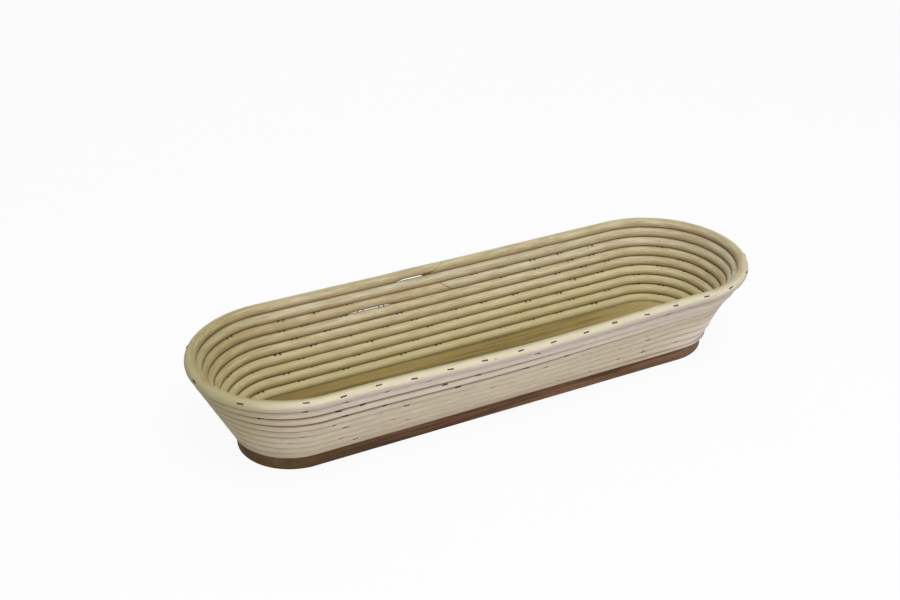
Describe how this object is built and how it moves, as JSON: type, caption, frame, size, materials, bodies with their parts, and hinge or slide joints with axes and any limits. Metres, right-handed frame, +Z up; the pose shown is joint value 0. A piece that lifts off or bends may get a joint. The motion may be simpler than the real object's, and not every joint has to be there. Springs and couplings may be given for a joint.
{
  "type": "proofing basket",
  "caption": "Long oval proofing basket of round cane wound in a flaring spiral on a wooden base board, stapled row to row, for shaping a rising loaf.",
  "frame": {"origin": "middle of the board's underside", "axes": "+X along the basket, +Z up out of its mouth, the near long side in the picture at -Y"},
  "size_m": [0.405, 0.1325, 0.0659],
  "materials": {
    "board": "satin",
    "cane": "matte",
    "staple": "dull"
  },
  "bodies": {
    "root": {"base_board": "board", "first_cane": "cane", "second_cane": "cane", "third_cane": "cane", "rim_cane": "cane", "first_cane_staples": "staple", "second_cane_staples": "staple", "third_cane_staples": "staple", "rim_staples": "staple"}
  },
  "joints": []
}
